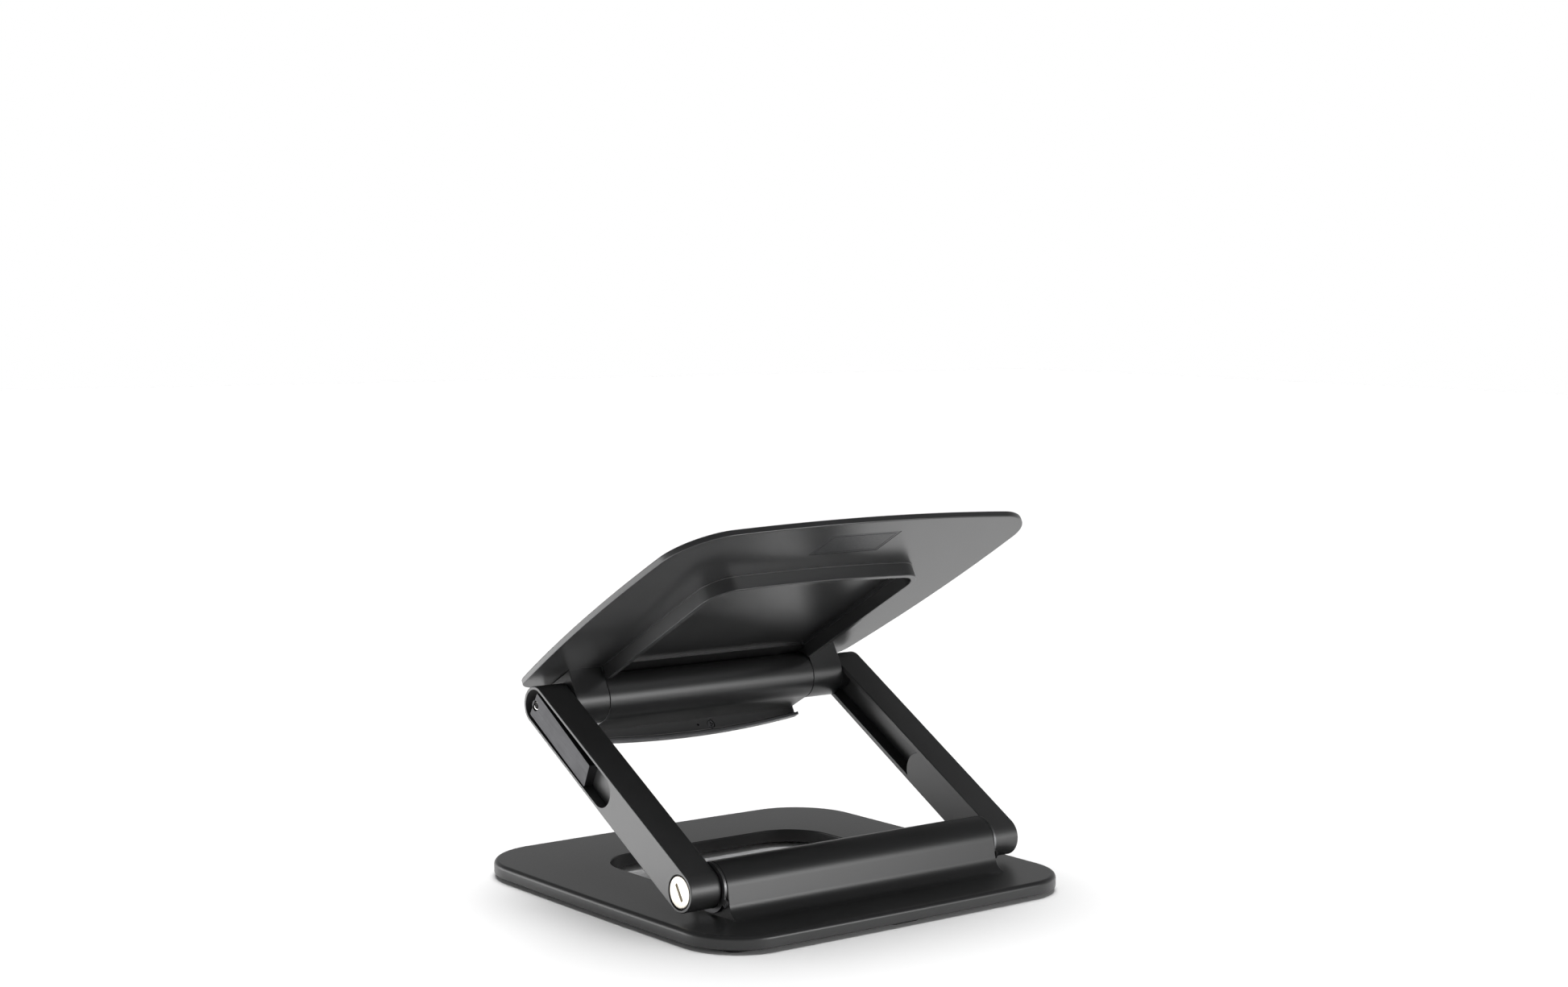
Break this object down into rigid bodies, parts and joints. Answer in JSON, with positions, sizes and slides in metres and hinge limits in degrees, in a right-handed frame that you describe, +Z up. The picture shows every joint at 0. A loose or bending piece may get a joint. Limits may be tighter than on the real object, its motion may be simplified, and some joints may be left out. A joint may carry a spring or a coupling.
{
  "type": "laptop stand",
  "caption": "Folding laptop stand: a flat base with a central opening, two arms on friction hinges and a tilting tray with a front stop.",
  "frame": {"origin": "centre of the base's outline, on the surface that the feet stand on", "axes": "+X across the stand along both hinge axes, +Y towards the back of the base where the lower hinge is, +Z up"},
  "size_m": [0.2568, 0.2483, 0.2185],
  "materials": {
    "powder_coat": "satin black powder coat over aluminium",
    "leaf_steel": "dark satin steel",
    "nickel": "warm satin nickel plating",
    "steel": "bright turned steel",
    "dark_steel": "black oxide",
    "black_plastic": "matte black",
    "dark_plastic": "satin dark grey",
    "silicone": "soft matte black silicone",
    "rubber": "matte black"
  },
  "bodies": {
    "base": {"base_cover": "black_plastic", "base_foot_1": "rubber", "base_foot_2": "rubber", "base_foot_3": "rubber", "base_foot_4": "rubber", "base_foot_5": "rubber", "base_foot_6": "rubber", "base_plate": "powder_coat", "bracket_screw_1": "dark_steel", "bracket_screw_2": "dark_steel", "bracket_screw_3": "dark_steel", "bracket_screw_4": "dark_steel", "cover_screw_1": "dark_steel", "cover_screw_2": "dark_steel", "cover_screw_3": "dark_steel", "cover_screw_4": "dark_steel", "cover_screw_5": "dark_steel", "cover_screw_6": "dark_steel", "hinge_bracket_left": "dark_steel", "hinge_bracket_right": "dark_steel", "hinge_stop_plate_left": "dark_steel", "hinge_stop_plate_right": "dark_steel"},
    "arms": {"arm_insert_left": "powder_coat", "arm_insert_right": "powder_coat", "arm_left": "powder_coat", "arm_right": "powder_coat", "hinge_leaf_left": "leaf_steel", "hinge_leaf_right": "leaf_steel", "pivot_bolt_left": "nickel", "pivot_bolt_right": "nickel", "pivot_nut_left": "dark_steel", "pivot_nut_right": "dark_steel", "pivot_washer_left": "steel", "pivot_washer_right": "steel", "upper_nut_left": "dark_steel", "upper_nut_right": "dark_steel", "upper_shaft_left": "steel", "upper_shaft_right": "steel", "upper_washer_left": "steel", "upper_washer_right": "steel"},
    "tray": {"fascia_screw": "dark_steel", "frame_screw_1": "dark_steel", "frame_screw_2": "dark_steel", "front_stop": "powder_coat", "label_plate": "dark_plastic", "lug_screw_1": "dark_steel", "lug_screw_2": "dark_steel", "lug_screw_3": "dark_steel", "lug_screw_4": "dark_steel", "stop_fascia": "dark_plastic", "stop_pad": "silicone", "tray_frame": "powder_coat", "tray_lug_left": "powder_coat", "tray_lug_right": "powder_coat", "tray_pad_left": "silicone", "tray_pad_right": "silicone", "tray_plate": "powder_coat", "tube_screw_1": "dark_steel", "tube_screw_2": "dark_steel"}
  },
  "joints": [
    {"name": "lower_hinge", "type": "hinge", "parent": "base", "child": "arms", "pos_m": [0, 0.0709, 0.0242], "axis": [-1, 0, 0], "range_deg": [-23.3, 30]},
    {"name": "upper_hinge", "type": "hinge", "parent": "arms", "child": "tray", "pos_m": [0, -0.06785, 0.1038], "axis": [1, 0, 0], "range_deg": [-53.6, 49.5]}
  ]
}
